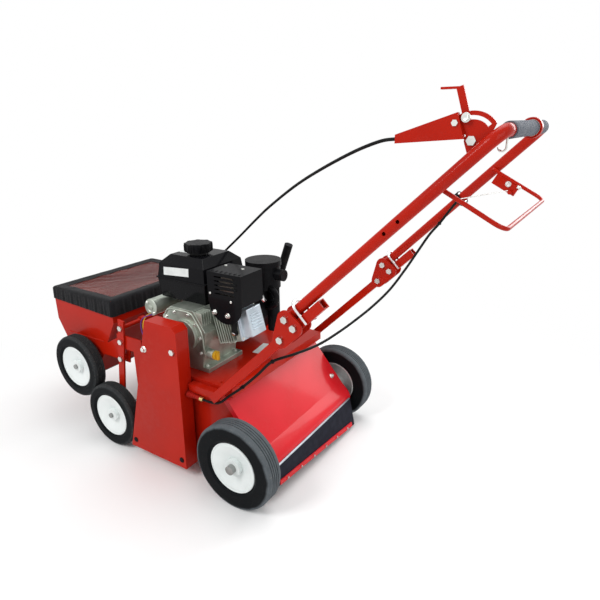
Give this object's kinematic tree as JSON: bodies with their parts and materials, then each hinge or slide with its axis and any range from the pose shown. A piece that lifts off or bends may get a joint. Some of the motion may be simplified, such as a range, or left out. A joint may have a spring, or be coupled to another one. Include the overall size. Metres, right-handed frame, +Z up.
{
  "type": "overseeder",
  "caption": "Walk-behind overseeder: slitting reel under a steel deck, belt-driven by a small engine, a wheel-driven seed hopper in front and a folding handle with bail and rate lever.",
  "frame": {"origin": "on the ground below the middle of the machine's plan", "axes": "+X back to the operator, +Y to the operator's right, +Z up"},
  "size_m": [1.4478, 0.634, 1.0604],
  "materials": {
    "red_paint": "gloss",
    "bare_steel": "satin",
    "plated_steel": "gloss",
    "rubber": "matte",
    "tyre": "matte",
    "white_rim": "gloss",
    "cover_fabric": "matte",
    "cast_alloy": "satin",
    "black_metal": "satin",
    "hot_steel": "satin",
    "black_plastic": "matte",
    "tank_black": "gloss",
    "yellow_plastic": "gloss",
    "foam": "matte"
  },
  "bodies": {
    "chassis": {"deck_plate": "red_paint", "side_plate_left": "red_paint", "side_plate_right": "red_paint", "rear_hood": "red_paint", "rubber_flap": "rubber", "flap_strip": "red_paint", "rear_axle": "bare_steel", "front_uprights": "red_paint", "cross_rod": "red_paint", "hopper_shell": "red_paint", "belt_guard": "red_paint", "guard_back": "red_paint", "lower_arms": "red_paint", "handle_brackets": "red_paint", "chassis_fasteners": "plated_steel", "engine_block": "cast_alloy", "valve_cover": "cast_alloy", "fuel_tank": "tank_black", "muffler": "hot_steel", "muffler_guard": "black_metal", "carburettor": "black_plastic", "air_cleaner": "black_plastic", "blower_housing": "black_plastic", "starter_motor": "cast_alloy", "drive_belt": "rubber", "clutch_cable": "black_plastic", "seed_cable": "black_plastic", "reel_bearings": "cast_alloy"},
    "cover": {"hopper_cover": "cover_fabric"},
    "filler_cap": {"fuel_cap": "black_plastic"},
    "oil_filler_cap": {"oil_cap": "yellow_plastic"},
    "crank": {"crankshaft": "bare_steel", "drive_pulley": "bare_steel"},
    "reel": {"reel_shaft": "bare_steel", "reel_blades": "bare_steel", "driven_pulley": "bare_steel"},
    "idler": {"idler_arm": "bare_steel"},
    "idler_wheel": {"idler_pulley": "black_plastic"},
    "rear_wheel_left": {"rear_rim_left": "white_rim", "rear_tyre_left": "tyre"},
    "rear_wheel_right": {"rear_rim_right": "white_rim", "rear_tyre_right": "tyre"},
    "front_wheels": {"front_axle": "bare_steel", "front_rims": "white_rim", "front_tyres": "tyre"},
    "seed_drive": {"seed_shaft": "bare_steel", "seed_rims": "white_rim", "seed_tyres": "tyre"},
    "handle": {"handle_bar": "red_paint", "hand_grip": "foam", "rate_quadrant": "red_paint", "cable_horn": "red_paint", "handle_fasteners": "plated_steel", "clutch_wire": "bare_steel"},
    "bail_lever": {"bail": "red_paint"},
    "rate": {"rate_lever": "red_paint"},
    "gate": {"seed_gate": "bare_steel"},
    "clip_left": {"lock_clip_left": "plated_steel"},
    "clip_right": {"lock_clip_right": "plated_steel"},
    "depth": {"depth_lever": "black_plastic"}
  },
  "joints": [
    {"name": "rear_wheel_left_spin", "type": "hinge", "parent": "chassis", "child": "rear_wheel_left", "pos_m": [0.116, 0, 0.127], "axis": [0, 1, 0], "continuous": true},
    {"name": "rear_wheel_right_spin", "type": "hinge", "parent": "chassis", "child": "rear_wheel_right", "pos_m": [0.116, 0, 0.127], "axis": [0, 1, 0], "continuous": true},
    {"name": "front_wheels_spin", "type": "hinge", "parent": "chassis", "child": "front_wheels", "pos_m": [-0.411, 0, 0.107], "axis": [0, 1, 0], "continuous": true},
    {"name": "seed_drive_spin", "type": "hinge", "parent": "chassis", "child": "seed_drive", "pos_m": [-0.58606, 0, 0.23095], "axis": [0, 1, 0], "continuous": true},
    {"name": "reel_spin", "type": "hinge", "parent": "chassis", "child": "reel", "pos_m": [-0.194, 0, 0.118], "axis": [0, 1, 0], "continuous": true},
    {"name": "crank_spin", "type": "hinge", "parent": "chassis", "child": "crank", "pos_m": [-0.124, 0, 0.426], "axis": [0, 1, 0], "continuous": true},
    {"name": "handle_fold", "type": "hinge", "parent": "chassis", "child": "handle", "pos_m": [0.288, 0, 0.585], "axis": [0, -1, 0], "range_deg": [0, 100], "deforming": ["clutch_cable", "seed_cable"]},
    {"name": "bail_pull", "type": "hinge", "parent": "handle", "child": "bail_lever", "pos_m": [0.59184, 0, 0.88359], "axis": [0, -1, 0], "range_deg": [0, 63], "deforming": ["clutch_wire"]},
    {"name": "idler_swing", "type": "hinge", "parent": "chassis", "child": "idler", "pos_m": [-0.173, 0, 0.2104], "axis": [0, 1, 0], "range_deg": [0, 13.05]},
    {"name": "idler_wheel_spin", "type": "hinge", "parent": "idler", "child": "idler_wheel", "pos_m": [-0.15172, 0, 0.30401], "axis": [0, 1, 0], "continuous": true},
    {"name": "rate_swing", "type": "hinge", "parent": "handle", "child": "rate", "pos_m": [0.64067, 0, 0.96802], "axis": [0, 1, 0], "range_deg": [0, 60]},
    {"name": "gate_slide", "type": "slide", "parent": "chassis", "child": "gate", "axis": [1, 0, 0], "range_m": [0, 0.0201]},
    {"name": "clip_left_slide", "type": "slide", "parent": "handle", "child": "clip_left", "axis": [0.7133, 0, 0.7009], "range_m": [0, 0.064]},
    {"name": "clip_right_slide", "type": "slide", "parent": "handle", "child": "clip_right", "axis": [0.7133, 0, 0.7009], "range_m": [0, 0.064]},
    {"name": "depth_swing", "type": "hinge", "parent": "chassis", "child": "depth", "pos_m": [-0.13, 0.205, 0.346], "axis": [0, 1, 0], "range_deg": [-15, 20]},
    {"name": "cover_lift", "type": "slide", "parent": "chassis", "child": "cover", "axis": [0, 0, 1], "range_m": [0, 0.12]},
    {"name": "fuel_cap_turn", "type": "hinge", "parent": "chassis", "child": "filler_cap", "pos_m": [-0.171, -0.07, 0.632], "axis": [0, 0, 1], "continuous": true},
    {"name": "oil_cap_turn", "type": "hinge", "parent": "chassis", "child": "oil_filler_cap", "pos_m": [-0.022, -0.178, 0.374], "axis": [1, 0, 0], "continuous": true}
  ],
  "couplings": [
    {"joint": "seed_drive_spin", "follows": "front_wheels_spin", "ratio": -1},
    {"joint": "crank_spin", "follows": "reel_spin", "ratio": 1.5625},
    {"joint": "idler_swing", "follows": "bail_pull", "ratio": 0.20635},
    {"joint": "gate_slide", "follows": "rate_swing", "m_per_rad": 0.019099}
  ]
}
